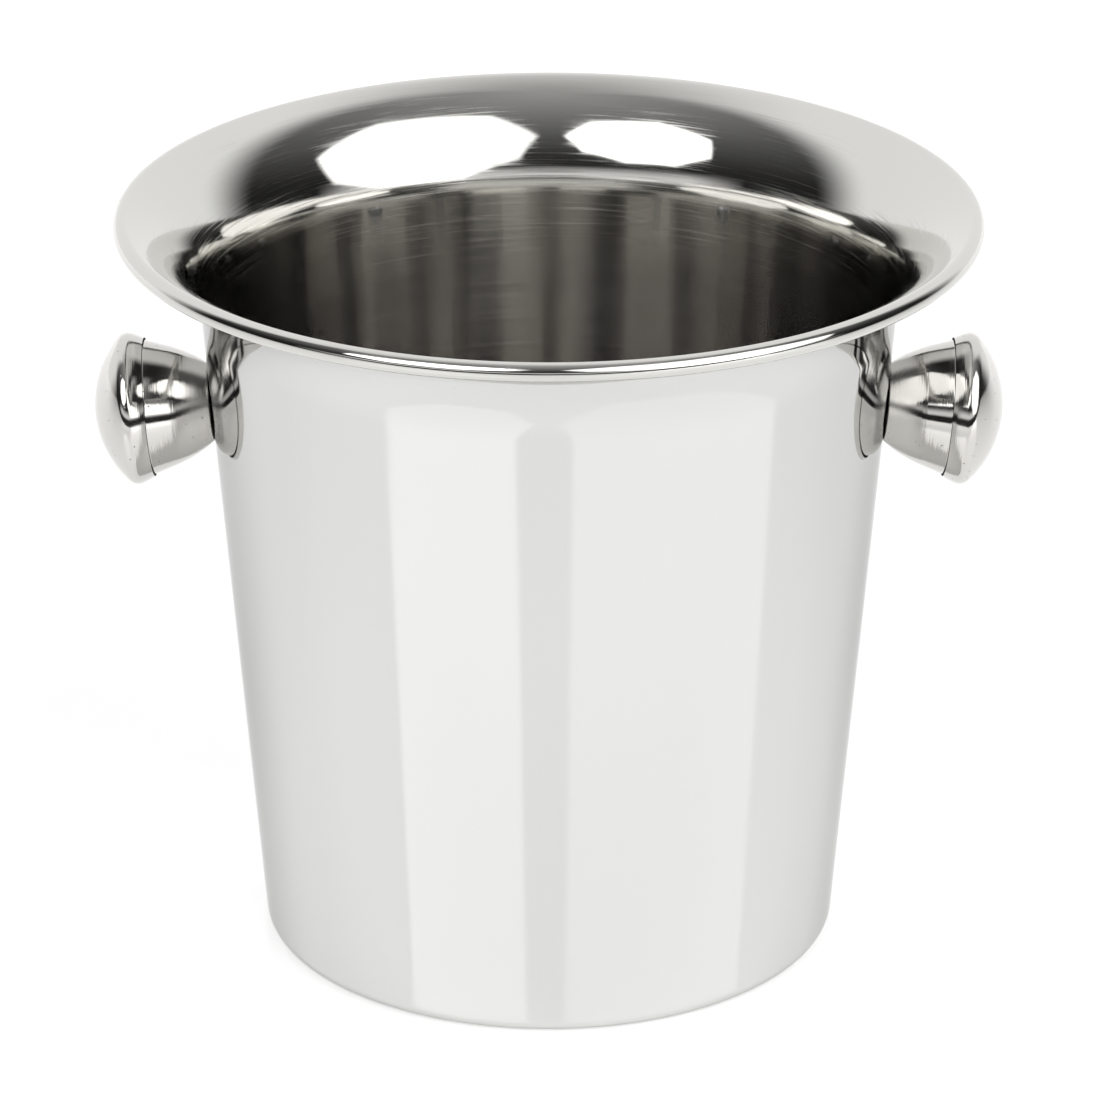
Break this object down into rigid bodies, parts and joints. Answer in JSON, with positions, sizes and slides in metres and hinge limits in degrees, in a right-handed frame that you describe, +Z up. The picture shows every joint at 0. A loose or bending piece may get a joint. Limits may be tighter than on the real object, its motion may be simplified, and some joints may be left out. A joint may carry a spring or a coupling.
{
  "type": "champagne bucket",
  "caption": "Tapered polished steel champagne bucket with a wide flared mouth, a rolled rim and a round hollow knob handle on each side.",
  "frame": {"origin": "centre of the standing ring, on the surface the bucket stands on", "axes": "+Z up, out of the mouth; +X across the two knobs; +Y completes the right-handed frame"},
  "size_m": [0.2374, 0.225, 0.2],
  "materials": {
    "polished_steel": "mirror polished outside, finely brushed inside",
    "knob_steel": "polished, with fine turning lines",
    "turned_steel": "plain machined"
  },
  "bodies": {
    "root": {"bucket_body": "polished_steel", "left_knob_cup": "knob_steel", "left_knob_cap": "knob_steel", "left_knob_bush": "turned_steel", "left_knob_screw": "turned_steel", "left_knob_washer": "turned_steel", "right_knob_cup": "knob_steel", "right_knob_cap": "knob_steel", "right_knob_bush": "turned_steel", "right_knob_screw": "turned_steel", "right_knob_washer": "turned_steel"}
  },
  "joints": []
}
